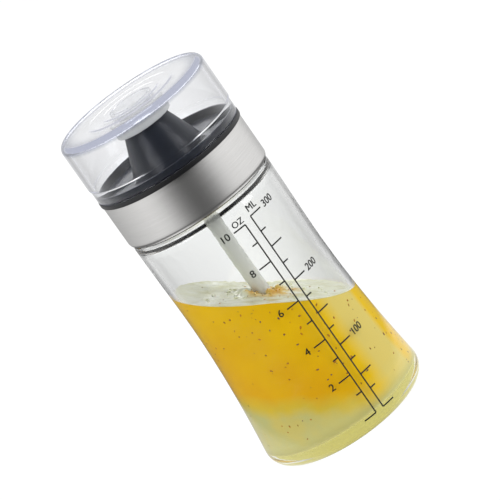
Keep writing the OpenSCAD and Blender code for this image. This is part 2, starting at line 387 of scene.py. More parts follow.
def clear_material(name, tint, ior, smudged, wave):
    """Clear glass or plastic: faint smudges and a slow unevenness left by its mould.

    Shadow and diffuse rays pass straight through it, so the lamps light what is inside.
    """
    material, tree, shader, output = new_material(
        name, Base_Color=tint, Metallic=0.0, Transmission_Weight=1.0, IOR=ior)
    marks = add_group(tree, SMUDGES, Clean=0.0, Smudged=smudged)
    tree.links.new(marks.outputs["Roughness"], shader.inputs["Roughness"])
    add_bump(tree, shader, add_noise(tree, 110, 3), wave, 1 * MM)
    rays = tree.nodes.new("ShaderNodeLightPath")
    either = add_math(tree, "MAXIMUM", rays.outputs["Is Shadow Ray"], rays.outputs["Is Diffuse Ray"])
    clear = tree.nodes.new("ShaderNodeBsdfTransparent")
    clear.inputs["Color"].default_value = tint
    mix_shaders(tree, either, shader, clear, output)
    return material


def cap_plastic(tint, corner_tint_and_shade, glow):
    """Clear plastic, deeper in colour round the cap's solid top corner, a tint that also paints in the shade
    of that thick corner.

    Where light has turned back twice inside it, the plastic gives off a painted glow, so its thick corners
    are pale and not black.
    Its IOR is a little low, so that its walls don't carry light round the cap.
    """
    material = clear_material("cap_clear_plastic", tint, 1.38, 0.04, 0.02)
    tree = material.node_tree
    shader = next(node for node in tree.nodes if node.type == "BSDF_PRINCIPLED")
    x, y, z = split_axes(tree, object_place(tree))
    corner_z = CAP_HI.z - 4.5 * MM
    # Painted shade: the deeper corner tint also stands in for the shade of the thick corner
    outer = add_range(tree, axis_distance(tree, x, y), 25 * MM, 33.5 * MM, smooth=True)
    upper = add_range(tree, z, corner_z, corner_z + 2 * MM, smooth=True)
    colour = add_mix(tree, add_math(tree, "MULTIPLY", outer, upper), tint, corner_tint_and_shade)
    tree.links.new(colour, shader.inputs["Base Color"])
    # Painted glow: rays that have turned back twice inside the plastic make it give off light
    turns = tree.nodes.new("ShaderNodeLightPath").outputs["Glossy Depth"]
    painted_glow = add_mix(tree, add_math(tree, "GREATER_THAN", turns, 1.5), (0.0, 0.0, 0.0, 1.0), glow)
    tree.links.new(painted_glow, shader.inputs["Emission Color"])
    shader.inputs["Emission Strength"].default_value = 1.0
    return material


def moulded_plastic(name, dark, light, roughness, bump):
    """Opaque moulded plastic with a slow drift of tone and a fine grain."""
    material, tree, shader, _ = new_material(name, Roughness=roughness)
    grain = add_group(tree, GRAIN, Scale=2600.0)
    colour = add_ramp(tree, grain.outputs["Tone"], [(0.3, dark), (0.7, light)])
    tree.links.new(colour, shader.inputs["Base Color"])
    add_bump(tree, shader, grain.outputs["Height"], bump, 0.05 * MM)
    return material


def brushed_steel():
    """Steel brushed round its axis: long fine lines that break the shine up and down."""
    material, tree, shader, _ = new_material("brushed_steel", Metallic=1.0, Anisotropic=0.3)
    stretch = tree.nodes.new("ShaderNodeMapping")
    stretch.inputs["Scale"].default_value = (60, 60, 9000)
    tree.links.new(object_place(tree), stretch.inputs["Vector"])
    lines = add_noise(tree, 1, 4, stretch.outputs["Vector"])
    tone = add_ramp(tree, lines, [(0.25, srgb(212, 211, 209)), (0.75, srgb(228, 227, 226))])
    tree.links.new(tone, shader.inputs["Base Color"])
    tree.links.new(add_range(tree, lines, 0, 1, 0.18, 0.30), shader.inputs["Roughness"])
    add_bump(tree, shader, lines, 0.12, 0.02 * MM)
    return material


def frosted_plastic(name, tint, roughness, transmission):
    """Milky translucent plastic or silicone."""
    material, tree, shader, _ = new_material(
        name, Roughness=roughness, Metallic=0.0, Transmission_Weight=transmission, IOR=1.45)
    grain = add_group(tree, GRAIN, Scale=1500.0)
    darker = tuple(0.9 * value for value in tint[:3]) + (1.0,)
    colour = add_ramp(tree, grain.outputs["Tone"], [(0.3, darker), (0.7, tint)])
    tree.links.new(colour, shader.inputs["Base Color"])
    add_bump(tree, shader, grain.outputs["Height"], 0.05, 0.05 * MM)
    return material


def mottled(name, scale, detail, stops, **sockets):
    """A plain material whose colour wanders between these tones."""
    material, tree, shader, _ = new_material(name, **sockets)
    tree.links.new(add_ramp(tree, add_noise(tree, scale, detail), stops), shader.inputs["Base Color"])
    return material


def plane_depth(tree, place):
    """Depth below the dressing's still surface, in metres."""
    dot = tree.nodes.new("ShaderNodeVectorMath")
    dot.operation = "DOT_PRODUCT"
    dot.inputs[1].default_value = (-LEVEL_SLOPE, LEVEL_LEAN, -1.0)
    tree.links.new(place, dot.inputs[0])
    return add_math(tree, "ADD", dot.outputs["Value"], LEVEL_Z)


# The painted reflection up the right of the dressing, a pale streak: how pale it is by direction, as
# turn_mask counts it
PAINTED_REFLECTION_SIDE = [(0.578, 0), (0.612, 0.85), (0.672, 0.9), (0.690, 0)]


def dressing_material():
    """Orange-yellow dressing that has begun to settle: pale low down on one side, yellower on the other;
    painted light gives it a pale reflection streak at the right, a lighter foot and underside, and a glow.
    """
    # The emission strength is the dressing's painted glow
    material, tree, shader, _ = new_material(
        "dressing", Roughness=0.4, Specular_IOR_Level=0.05, Emission_Strength=0.70)
    place = object_place(tree)
    x, y, z = split_axes(tree, place)
    swirled = add_math(tree, "MULTIPLY_ADD", add_noise(tree, 48, 4, place), 16 * MM, plane_depth(tree, place))
    warm = add_ramp(tree, add_range(tree, swirled, 0, 90 * MM), [
        (0.0, srgb(216, 173, 2)), (0.35, srgb(215, 166, 2)), (0.60, srgb(215, 160, 6)),
        (0.67, srgb(200, 176, 62)), (0.73, srgb(186, 183, 118)), (1.0, srgb(183, 185, 134))])
    drift = add_ramp(tree, add_noise(tree, 75, 5, place), [(0.36, 0), (0.66, 0.3)])
    across = add_range(tree, x, -2 * MM, 18 * MM, most=0.85, smooth=True)
    yellower = add_mix(tree, add_math(tree, "MAXIMUM", across, drift), warm, srgb(230, 190, 6))
    # Painted reflection: a pale upright streak at the right of the dressing
    pale = add_mix(tree, turn_mask(tree, x, y, PAINTED_REFLECTION_SIDE), yellower, srgb(214, 196, 112))
    # Painted light: low in the foot and under the domed floor the dressing is painted paler
    foot = add_ramp(tree, z, [(8.5 * MM, 1), (13.5 * MM, 0)])
    inside = add_ramp(tree, axis_distance(tree, x, y), [(31.5 * MM, 1), (32.5 * MM, 0)])
    below = add_ramp(tree, z, [(17 * MM, 1), (19 * MM, 0)])
    under = add_math(tree, "MULTIPLY", inside, below)
    colour_with_painted_light = add_mix(tree, add_math(tree, "MAXIMUM", foot, under), pale, srgb(190, 184, 118))
    tree.links.new(colour_with_painted_light, shader.inputs["Base Color"])
    # Painted glow: the dressing gives off light in its own colour, most of it low in the foot and under the
    # domed floor
    painted_glow = add_math(tree, "MAXIMUM", add_ramp(tree, z, [(6 * MM, 0.45), (20 * MM, 0.2)]), under)
    tree.links.new(add_mix(tree, 1.0, colour_with_painted_light, painted_glow, "MULTIPLY"), shader.inputs["Emission Color"])
    return material


def film_material():
    """Pale oily film on the dressing, its paleness partly a painted reflection of the bright studio, with the
    orange dressing stirred into it round the rod.
    """
    material, tree, shader, _ = new_material("oil_film", Roughness=0.12)
    place = object_place(tree)
    cloud = add_noise(tree, 160, 5, place)
    # The film's pale tones are partly its own colour and partly a painted reflection
    plain = add_ramp(tree, cloud, [
        (0.3, srgb(216, 213, 166)), (0.5, srgb(234, 234, 202)), (0.72, srgb(246, 247, 228))])
    stirred = add_ramp(tree, cloud, [
        (0.38, srgb(222, 166, 48)), (0.5, srgb(232, 200, 112)), (0.62, srgb(240, 234, 202))])
    flat = tree.nodes.new("ShaderNodeVectorMath")
    flat.operation = "MULTIPLY"
    flat.inputs[1].default_value = (1, 1, 0)
    tree.links.new(place, flat.inputs[0])
    away = tree.nodes.new("ShaderNodeVectorMath")
    away.operation = "DISTANCE"
    away.inputs[1].default_value = STIR_PLACE
    tree.links.new(flat.outputs[0], away.inputs[0])
    wander = add_math(tree, "MULTIPLY_ADD", cloud, 9 * MM, away.outputs["Value"])
    outside = add_range(tree, wander, 10 * MM, 17 * MM, smooth=True)
    tree.links.new(add_mix(tree, outside, stirred, plain), shader.inputs["Base Color"])
    add_bump(tree, shader, cloud, 0.4, 0.6 * MM)
    return material


BOTTLE_GLASS = clear_material("bottle_glass", (0.985, 0.993, 0.988, 1.0), 1.50, 0.02, 0.08)
# The cap's corner tint is partly painted shade, and its last colour is a painted glow
CAP_CLEAR = cap_plastic((0.965, 0.97, 0.98, 1.0), (0.60, 0.62, 0.69, 1.0), (0.15, 0.155, 0.18, 1.0))
SLATE = moulded_plastic("slate_plastic", srgb(14, 20, 33), srgb(20, 27, 41), 0.38, 0.02)
BLACK = moulded_plastic("black_plastic", srgb(18, 18, 20), srgb(26, 26, 29), 0.35, 0.10)
STEEL = brushed_steel()
ROD_CLEAR = frosted_plastic("rod_plastic", (0.97, 0.98, 0.94, 1.0), 0.22, 0.3)
SILICONE = frosted_plastic("silicone", (0.90, 0.91, 0.91, 1.0), 0.45, 0.35)
INK = mottled("printed_ink", 900, 3, [(0.3, srgb(26, 28, 26)), (0.8, srgb(48, 50, 47))], Roughness=0.45)
DRESSING = dressing_material()
FILM = film_material()
HERBS = mottled("herb_flecks", 420, 1, [
    (0.36, srgb(110, 78, 84)), (0.44, srgb(158, 108, 44)), (0.52, srgb(200, 126, 28)),
    (0.60, srgb(182, 122, 44)), (0.68, srgb(134, 116, 56))], Roughness=0.6, Specular_IOR_Level=0.1)


# Glass bottle, with its screw thread

def glass_outline():
    stand_in = HEEL_X - RING_W
    rim = GLASS_HI.z
    rim_round = 1.1 * MM
    bead_z = BODY_H + 3 * MM
    outside = [(stand_in * i / 12, PUNT_H * (1 - (i / 12) ** 2)) for i in range(13)]
    outside += arc(HEEL_X, HEEL_R, HEEL_R, -90, math.degrees(HEEL_TILT), 16)
    outside += [(side_r(z), z) for z in between(FOOT_Z, WAIST_Z, 30)]
    outside += [(side_r(z), z) for z in between(WAIST_Z, SIDE_TOP, 16)]
    outside += arc(TOP_R - SHOULDER_ROUND, SIDE_TOP, SHOULDER_ROUND, 0, 90, 12)
    outside += arc(NECK_R, bead_z, BEAD_H, -90, 90, 10)
    outside += arc(NECK_R - rim_round, rim - rim_round, rim_round, 0, 90, 8)
    inner_z = FLOOR_T + INNER_HEEL
    inside = arc(MOUTH_R + rim_round, rim - rim_round, rim_round, 90, 180, 8)
    inside += [(inside_r(z), z) for z in between(MOUTH_TURN, INNER_TURN, 20)]
    inside += [(inside_r(z), z) for z in between(INNER_TURN, inner_z, 40)]
    inside += arc(FLOOR_R, inner_z, INNER_HEEL, 0, -90, 14)
    inside += [(FLOOR_R * i / 16, floor_z(FLOOR_R * i / 16)) for i in range(15, -1, -1)]
    return outside + inside


bottle = lathe("bottle_body", glass_outline(), 192)
finish_piece(bottle, BOTTLE_GLASS, "bottle", "glass_bottle")


def helix_thread(name, root_r, crest_r, z_from, turns, pitch, width, steps=72):
    """A rounded thread: a small profile is screwed round the axis, and its ends run out to nothing."""
    deselect()
    bpy.ops.mesh.primitive_circle_add(vertices=12, radius=width / 2, fill_type="NOTHING")
    piece = bpy.context.object
    piece.name = name
    bpy.ops.object.mode_set(mode="EDIT")
    bpy.ops.mesh.select_all(action="SELECT")
    bpy.ops.transform.rotate(value=math.radians(90), orient_axis="X", center_override=(0, 0, 0))
    bpy.ops.transform.resize(value=(abs(crest_r - root_r) / (width / 2), 1, 1))
    bpy.ops.transform.translate(value=(root_r, 0, z_from))
    bpy.ops.object.mode_set(mode="OBJECT")
    screw = piece.modifiers.new("screw", "SCREW")
    screw.angle = 2 * math.pi * turns
    screw.screw_offset = pitch * turns
    screw.steps = int(steps * turns)
    screw.render_steps = screw.steps
    screw.use_smooth_shade = True
    bpy.ops.object.modifier_apply(modifier="screw")
    run_out, total = math.radians(40), 2 * math.pi * turns
    for vertex in piece.data.vertices:
        x, y, z = vertex.co
        radius = math.hypot(x, y)
        turned = (z - z_from) / (pitch * turns) * total
        ends = min(1.0, max(0.0, min(turned + 0.05, total - turned + 0.05) / run_out))
        wanted = root_r + (radius - root_r) * ease(ends)
        vertex.co.x, vertex.co.y = x * wanted / radius, y * wanted / radius
    bpy.ops.object.mode_set(mode="EDIT")
    bpy.ops.mesh.select_all(action="SELECT")
    bpy.ops.mesh.remove_doubles(threshold=0.002 * MM)
    bpy.ops.mesh.select_all(action="DESELECT")
    bpy.ops.mesh.select_non_manifold()
    bpy.ops.mesh.fill_holes(sides=0)
    bpy.ops.mesh.select_all(action="SELECT")
    bpy.ops.mesh.normals_make_consistent(inside=False)
    bpy.ops.object.mode_set(mode="OBJECT")
    return piece


THREAD_PITCH = 4 * MM
THREAD_TURNS = 1.75
neck_thread = helix_thread(
    "neck_thread", NECK_R, NECK_R + 1.1 * MM, BODY_H + 7 * MM, THREAD_TURNS, THREAD_PITCH, 2.2 * MM)
finish_piece(neck_thread, BOTTLE_GLASS, "bottle")


# Steel collar and its black liner

SLIDE_GAP = 0.3 * MM
PRESS_GAP = 0.05 * MM
SLEEVE_WALL = 0.6 * MM
LINER_R = 31 * MM
HOLE_R = 28.9 * MM
POCKET_R = POURER_HI.x + SLIDE_GAP


def sleeve_outline():
    roll, lip, edge = 2.5 * MM, 2.9 * MM, 0.15 * MM
    r, z, top = SLEEVE_HI.x, SLEEVE_LO.z, SLEEVE_HI.z
    points = [(r - lip, z + SLEEVE_WALL), (r - lip, z)]
    points += arc(r - roll, z + roll, roll, -90, 0, 10)
    points += [(r, z + (top - z) * i / 6) for i in range(1, 6)]
    points += arc(r - edge, top - edge, edge, 0, 90, 3)
    points += [(r - SLEEVE_WALL, top)]
    points += arc(r - roll, z + roll, roll - SLEEVE_WALL, 0, -90, 10)
    return points + [points[0]]


def liner_outline():
    z, top = LINER_LO.z, LINER_HI.z
    out, flange = SLEEVE_HI.x - SLEEVE_WALL - PRESS_GAP, LINER_HI.x
    ring_z = SLEEVE_HI.z
    ledge_top, ledge_z = ring_z + 1 * MM, ring_z - 0.7 * MM
    corner, edge = 1.9 * MM, 0.4 * MM
    points = [(LINER_R, z)]
    points += arc(out - corner, z + corner, corner, -90, 0, 8)
    points += [(out, ring_z)]
    points += arc(flange - edge, ring_z + edge, edge, -90, 0, 6)
    points += arc(flange - edge, top - edge, edge, 0, 90, 6)
    points += [(POCKET_R, top), (POCKET_R, ledge_top), (HOLE_R, ledge_top), (HOLE_R, ledge_z)]
    points += [(LINER_R, ledge_z)]
    return points + [points[0]]


sleeve = lathe("steel_sleeve", sleeve_outline(), 192)
finish_piece(sleeve, STEEL, "collar", "collar_sleeve")
liner = lathe("screw_liner", liner_outline(), 144)
finish_piece(liner, BLACK, "collar", "collar_liner")
liner_thread = helix_thread(
    "liner_thread", LINER_R, LINER_R - 0.8 * MM, BODY_H + 6 * MM, THREAD_TURNS, THREAD_PITCH, 1.6 * MM)
finish_piece(liner_thread, BLACK, "collar")


# Pourer: dish and hollow cone

DISH_R = POURER_HI.x
MOUTH_Z = POURER_HI.z
DISH_FLOOR = MOUTH_Z - 19.8 * MM
DISH_Z = DISH_FLOOR - 1.2 * MM
DISH_TOP = DISH_FLOOR + 3.2 * MM
DISH_WALL = 1.3 * MM
DISH_FLARE = 1.1 * MM  # how far the rim stands out over the liner's flange
CONE_FOOT_R = 17.1 * MM
CONE_MOUTH_R = 8.95 * MM
CONE_WALL = 1.4 * MM
CONE_LEAN = (CONE_FOOT_R - CONE_MOUTH_R) / (MOUTH_Z - DISH_FLOOR)
BOSS_IN = 27.25 * MM
BOSS_R = 28.6 * MM


def cone_r(z):
    """Outer radius of the pouring cone at height z."""
    return CONE_MOUTH_R + CONE_LEAN * (MOUTH_Z - z)


def pourer_outline():
    dish_in = DISH_R - DISH_WALL
    corner, edge, fillet, lip = 0.8 * MM, 0.4 * MM, 1.6 * MM, CONE_WALL / 2
    lean = math.degrees(math.atan(CONE_LEAN))
    low = POURER_LO.z
    points = [(CONE_FOOT_R - CONE_WALL, DISH_Z), (BOSS_IN, DISH_Z), (BOSS_IN, low), (BOSS_R, low)]
    points += [(BOSS_R, DISH_Z)]
    points += arc(DISH_R - edge, DISH_Z + edge, edge, -90, 0, 6)
    points += arc(DISH_R + DISH_FLARE - edge, LINER_HI.z + SLIDE_GAP + edge, edge, -90, 0, 6)
    points += arc(DISH_R + DISH_FLARE - edge, DISH_TOP - edge, edge, 0, 90, 6)
    points += arc(dish_in + DISH_FLARE + edge, DISH_TOP - edge, edge, 90, 180, 5)
    points += arc(dish_in - corner, DISH_FLOOR + corner, corner, 0, -90, 8)
    for i in range(13):
        q = i / 12
        out = cone_r(DISH_FLOOR + fillet * q) + fillet * (1 - q) ** 2
        points.append((out, DISH_FLOOR + fillet * q * q + 0.01 * MM))
    points += [(cone_r(z), z) for z in between(DISH_FLOOR + fillet, MOUTH_Z - lip, 8)]
    points += arc(CONE_MOUTH_R - lip, MOUTH_Z - lip, lip, lean, 180 - lean, 10)
    return points + [points[0]]


pourer = lathe("pouring_cone_dish", pourer_outline(), 160)
finish_piece(pourer, SLATE, "pourer", "pourer")


# Clear cap and the seal over the cone's mouth

CAP_IN = CAP_HI.x - 2.4 * MM
CAP_ROUND = 2.8 * MM
CAP_TOP_T = 2.8 * MM
CAP_DISC_R = 20.5 * MM
CAP_BOSS_R = 13.7 * MM
CAP_STEP = 0.06 * MM  # the two rings under the top are this shallow, and eased
CAP_BAND_H = 5.7 * MM
CAP_BAND_IN = 0.5 * MM
SEAL_TOP = MOUTH_Z + 2.2 * MM
SEAL_BOSS_R = CONE_MOUTH_R - 0.5 * MM
SEAL_RING_WALL = 1.4 * MM


def cap_outline():
    r, low, top = CAP_HI.x, CAP_LO.z, CAP_HI.z
    band_r, step_z = r - CAP_BAND_IN, low + CAP_BAND_H
    band_in = DISH_R + DISH_FLARE + 0.2 * MM
    inner_top = top - CAP_TOP_T
    inner_round = 0.5 * MM
    disc_z, boss_z = inner_top - CAP_STEP, inner_top - 2 * CAP_STEP
    ring_in = SEAL_BOSS_R + PRESS_GAP
    ring_out = ring_in + SEAL_RING_WALL
    ring_z = SEAL_TOP + PRESS_GAP
    edge = 0.4 * MM
    points = [(0, boss_z), (ring_in, boss_z), (ring_in, ring_z), (ring_out, ring_z), (ring_out, boss_z)]
    for edge_r, below, above in ((CAP_BOSS_R, boss_z, disc_z), (CAP_DISC_R, disc_z, inner_top)):
        points += [(edge_r + reach * MM, below + (above - below) * ease((reach + 1) / 2))
                   for reach in (-1.3, -1, -0.7, -0.35, 0, 0.35, 0.7, 1, 1.3)]
    points += arc(CAP_IN - inner_round, inner_top - inner_round, inner_round, 90, 0, 10)
    points += [(CAP_IN, step_z + 0.1 * MM), (band_in, step_z), (band_in, low)]
    points += arc(band_r - edge, low + edge, edge, -90, 0, 6)
    points += [(band_r, step_z)]
    points += arc(r - edge, step_z + CAP_BAND_IN + edge, edge, -60, 0, 5)
    points += arc(r - CAP_ROUND, top - CAP_ROUND, CAP_ROUND, 0, 90, 16)
    return points + [(0, top)]


cap = lathe("clear_outer_cap", cap_outline(), 192)
finish_piece(cap, CAP_CLEAR, "cap", "clear_cap")


def seal_outline():
    r, low, top = SEAL_HI.x, SEAL_LO.z, SEAL_HI.z
    side = SLIDE_GAP / 2
    hollow_r, hollow_z = CONE_MOUTH_R - CONE_WALL - 0.6 * MM, MOUTH_Z + 1.1 * MM
    edge = 0.5 * MM
    points = [(0, hollow_z), (hollow_r, hollow_z), (hollow_r, MOUTH_Z), (CONE_MOUTH_R + side, MOUTH_Z),
              (cone_r(low) + side, low)]
    points += arc(r - edge, low + edge, edge, -90, 0, 6)
    points += arc(r - edge, SEAL_TOP - edge, edge, 0, 90, 6)
    return points + [(SEAL_BOSS_R, SEAL_TOP), (SEAL_BOSS_R, top), (0, top)]


seal = lathe("mouth_seal", seal_outline(), 96)
finish_piece(seal, SILICONE, "cap", "spout_seal")


# Gasket, holder, rod and mixing wheel

def gasket_outline():
    lip_in, lip_out = GASKET_LO.z, MOUTH_R - SLIDE_GAP
    inner = 25.35 * MM
    rim, top = GLASS_HI.z, GASKET_HI.z
    soft = 0.3 * MM
    points = [(inner, lip_in), (lip_out, lip_in), (lip_out, rim)]
    points += arc(NECK_R - soft, rim + soft, soft, -90, 0, 4)
    points += arc(NECK_R - soft, top - soft, soft, 0, 90, 4)
    return points + [(inner, top), (inner, lip_in)]


gasket = lathe("rim_gasket", gasket_outline(), 128)
finish_piece(gasket, SILICONE, "gasket", "neck_gasket")

ROD_R = ROD_HI.x
ROD_BORE = ROD_R - 1.3 * MM
rod = lathe("mixer_tube", [(ROD_BORE, ROD_LO.z), (ROD_R, ROD_LO.z), (ROD_R, ROD_HI.z), (ROD_BORE, ROD_HI.z),
                           (ROD_BORE, ROD_LO.z)], 64)
finish_piece(rod, ROD_CLEAR, "pourer", "mixing_rod")

for node, material in (("mixer_holder", SLATE), ("mixing_head", ROD_CLEAR)):
    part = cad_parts[node]
    for slot_index in range(len(part.material_slots)):
        part.material_slots[slot_index].material = material


# The dressing: its side follows the glass, and its surface leans and ripples

LIQUID_LAP = 0.06 * MM
LIQUID_FOOT = 22 * MM


def still_level(x, y):
    """Height of the dressing's surface without its splash and waves."""
    lean = LEVEL_LEAN + LEVEL_TWIST * max(0.0, -x) + LEVEL_TWIST / 2 * max(0.0, x)
    return LEVEL_Z - LEVEL_SLOPE * x + LEVEL_CURL * max(0.0, -x) + lean * y


def ripple(x, y):
    """Height of the splash round the rod and of the small waves, above the still surface."""
    r = math.hypot(x, y)
    turn = math.atan2(y, x)
    crown = 1.6 * MM * math.exp(-((r - 7 * MM) / (2.6 * MM)) ** 2)
    crown *= 1 + 0.6 * math.sin(5 * turn + 1) + 0.4 * math.sin(9 * turn)
    waves = 0.35 * MM * math.sin(r / (1.9 * MM) + 2 * math.sin(3 * turn)) * math.exp(-r / (20 * MM))
    swell = 0.8 * MM * math.sin(x / (9 * MM) + 0.6) * math.cos(y / (11 * MM))
    return crown + waves + swell


def wall_point(turn):
    """Where the still surface meets the glass in one direction: radius and height."""
    r = WAIST_R
    for _ in range(6):
        z = still_level(r * math.cos(turn), r * math.sin(turn))
        r = inside_r(z) + LIQUID_LAP
    return r, z


def pour(piece, side):
    """Moves a level lathe's vertices to the leaning, rippled surface and onto the glass."""
    full = inside_r(LEVEL_Z) + LIQUID_LAP
    for vertex in piece.data.vertices:
        x, y, z = vertex.co
        r, turn = math.hypot(x, y), math.atan2(y, x)
        wall_r, wall_z = wall_point(turn)
        if side and z < LEVEL_Z - 0.001 * MM:
            if z > LIQUID_FOOT:
                z = LIQUID_FOOT + (z - LIQUID_FOOT) / (LEVEL_Z - LIQUID_FOOT) * (wall_z - LIQUID_FOOT)
                r = inside_r(z) + LIQUID_LAP
        else:
            share = r / full
            r = share * wall_r
            px, py = r * math.cos(turn), r * math.sin(turn)
            climb = 0.36 * MM * max(0.0, (share - 0.93) / 0.07) ** 2
            z = z - LEVEL_Z + still_level(px, py) + ripple(px, py) * (1 - share ** 6) + climb
        vertex.co = (r * math.cos(turn), r * math.sin(turn), z)


def dressing_outline():
    inner_z = FLOOR_T + INNER_HEEL
    full = inside_r(LEVEL_Z) + LIQUID_LAP
    points = [(FLOOR_R * i / 16, floor_z(FLOOR_R * i / 16) - LIQUID_LAP) for i in range(16)]
    points += arc(FLOOR_R, inner_z, INNER_HEEL + LIQUID_LAP, -90, 0, 12)
    points += [(inside_r(z) + LIQUID_LAP, z) for z in between(inner_z, LEVEL_Z, 44)]
    points += [(full * (1 - i / 60), LEVEL_Z) for i in range(61)]
    return points


dressing = lathe("dressing_body", dressing_outline(), 160, 60)
pour(dressing, True)
finish_piece(dressing, DRESSING, "bottle")


def film_outline():
    full = (inside_r(LEVEL_Z) + LIQUID_LAP) * 0.996
    top, under = LEVEL_Z + 0.45 * MM, LEVEL_Z + 0.05 * MM
    points = [(full * i / 60, under) for i in range(61)]
    points += [(full * (1 - i / 60), top) for i in range(61)]
    return points


film = lathe("dressing_oil_film", film_outline(), 160, 60)
pour(film, False)
finish_piece(film, FILM, "bottle")


def scatter(name, count, seed, place, size_range, flat, subdivisions=1):
    """Copies one rough pebble many times; place gives each copy's centre and outward direction."""
    rng = random.Random(seed)
    parts = []
    for index in range(count):
        centre, normal = place(rng)
        size = rng.uniform(*size_range)
        deselect()
        bpy.ops.mesh.primitive_ico_sphere_add(subdivisions=subdivisions, radius=size)
        pebble = bpy.context.object
        turn = normal.to_track_quat("Z", "Y").to_matrix().to_4x4()
        spin = Matrix.Rotation(rng.uniform(0, 6.28), 4, "Z")
        squash = Matrix.Diagonal((rng.uniform(0.5, 1.0), rng.uniform(0.8, 1.5), flat, 1))
        for vertex in pebble.data.vertices:
            vertex.co *= rng.uniform(0.75, 1.15)
        pebble.data.transform(Matrix.Translation(centre) @ turn @ spin @ squash)
        parts.append(pebble)
    deselect()
    for pebble in parts:
        pebble.select_set(True)
    bpy.context.view_layer.objects.active = parts[0]
    bpy.ops.object.join()
    piece = bpy.context.object
    piece.name = name
    bpy.ops.object.shade_smooth()
    return piece


def beside_the_glass(rng):
    """A random place where the dressing meets the glass, below the surface."""
    turn = rng.uniform(0, 2 * math.pi)
    _, top = wall_point(turn)
    z = FLOOR_T + 3 * MM + (top - FLOOR_T - 4 * MM) * rng.random() ** 0.8
    r = inside_r(z) + LIQUID_LAP
    out = Vector((math.cos(turn), math.sin(turn), 0))
    return Vector((r * out.x, r * out.y, z)), out


def on_the_surface(rng):
    """A random place on the film, most of them near the rod."""
    turn = rng.uniform(0, 2 * math.pi)
    r = (4 + 22 * rng.random() ** 1.6) * MM
    x, y = r * math.cos(turn), r * math.sin(turn)
    return Vector((x, y, still_level(x, y) + ripple(x, y) + 0.5 * MM)), Vector((0.4, 0, 1)).normalized()


herbs = scatter("herb_flecks", 260, 9, beside_the_glass, (0.2 * MM, 0.7 * MM), 0.3)
finish_piece(herbs, HERBS, "bottle")
floating = scatter("floating_herbs", 60, 3, on_the_surface, (0.2 * MM, 0.6 * MM), 0.4)
finish_piece(floating, HERBS, "bottle")
bubbles = scatter("surface_bubbles", 46, 11, on_the_surface, (0.3 * MM, 0.9 * MM), 0.8, 2)
finish_piece(bubbles, FILM, "bottle")


# The printed scale on the glass

SCALE_TURN = math.radians(-91.9)
SCALE_X = 13.05 * MM
PRINT_LIFT = 0.02 * MM
PRINT_T = 0.05 * MM
LINE_W = 0.62 * MM
BOLD = 0.035
OUNCE_ML = 29.57


def flat_bar(x0, x1, z0, z1):
    """A thin bar drawn flat in the XZ plane, with cuts close enough to follow the glass."""
    deselect()
    nx = max(2, int((x1 - x0) / (1.5 * MM)) + 1)
    nz = max(2, int((z1 - z0) / (1.5 * MM)) + 1)
    bpy.ops.mesh.primitive_grid_add(x_subdivisions=nx, y_subdivisions=nz, size=1)
    bar = bpy.context.object
    for vertex in bar.data.vertices:
        vertex.co = ((x0 + x1) / 2 + vertex.co.x * (x1 - x0), 0, (z0 + z1) / 2 + vertex.co.y * (z1 - z0))
    return bar


def flat_text(words, x, z, size, align):
    """Plain letters or digits, centred on height z in the XZ plane; four copies make them bold."""
    labels = []
    for right, up in ((0, 0), (1, 0), (0, 1), (1, 1)):
        deselect()
        bpy.ops.object.text_add()
        label = bpy.context.object
        label.data.body = words
        label.data.size = size
        label.data.align_x = align
        label.data.align_y = "CENTER"
        label.data.resolution_u = 4
        bpy.ops.object.convert(target="MESH")
        label = bpy.context.object
        for vertex in label.data.vertices:
            dx, dz = right * BOLD * size, up * BOLD * size / 2
            vertex.co = (x + dx + vertex.co.x, 0, z + dz + vertex.co.y)
        labels.append(label)
    return labels


def wrap_on_glass(name, flats, turn):
    """Joins flat marks and bends them round the glass about that direction."""
    deselect()
    for flat in flats:
        flat.select_set(True)
    bpy.context.view_layer.objects.active = flats[0]
    bpy.ops.object.join()
    piece = bpy.context.object
    piece.name = name
    for vertex in piece.data.vertices:
        x, _, z = vertex.co
        r = side_r(z) + PRINT_LIFT
        a = turn + x / r
        vertex.co = (r * math.cos(a), r * math.sin(a), z)
    bpy.ops.object.mode_set(mode="EDIT")
    bpy.ops.mesh.select_all(action="SELECT")
    bpy.ops.mesh.remove_doubles(threshold=0.001 * MM)
    bpy.ops.object.mode_set(mode="OBJECT")
    thick = piece.modifiers.new("thickness", "SOLIDIFY")
    thick.thickness = PRINT_T
    thick.offset = 1
    bpy.ops.object.modifier_apply(modifier="thickness")
    return piece


def mark_height(volume_ml):
    """Height of a mark: the printed scale sits a little low, and more so at its top."""
    return fill_height(volume_ml) - 0.35 * MM - 1.3 * MM * max(0.0, (volume_ml - 250) / 50)


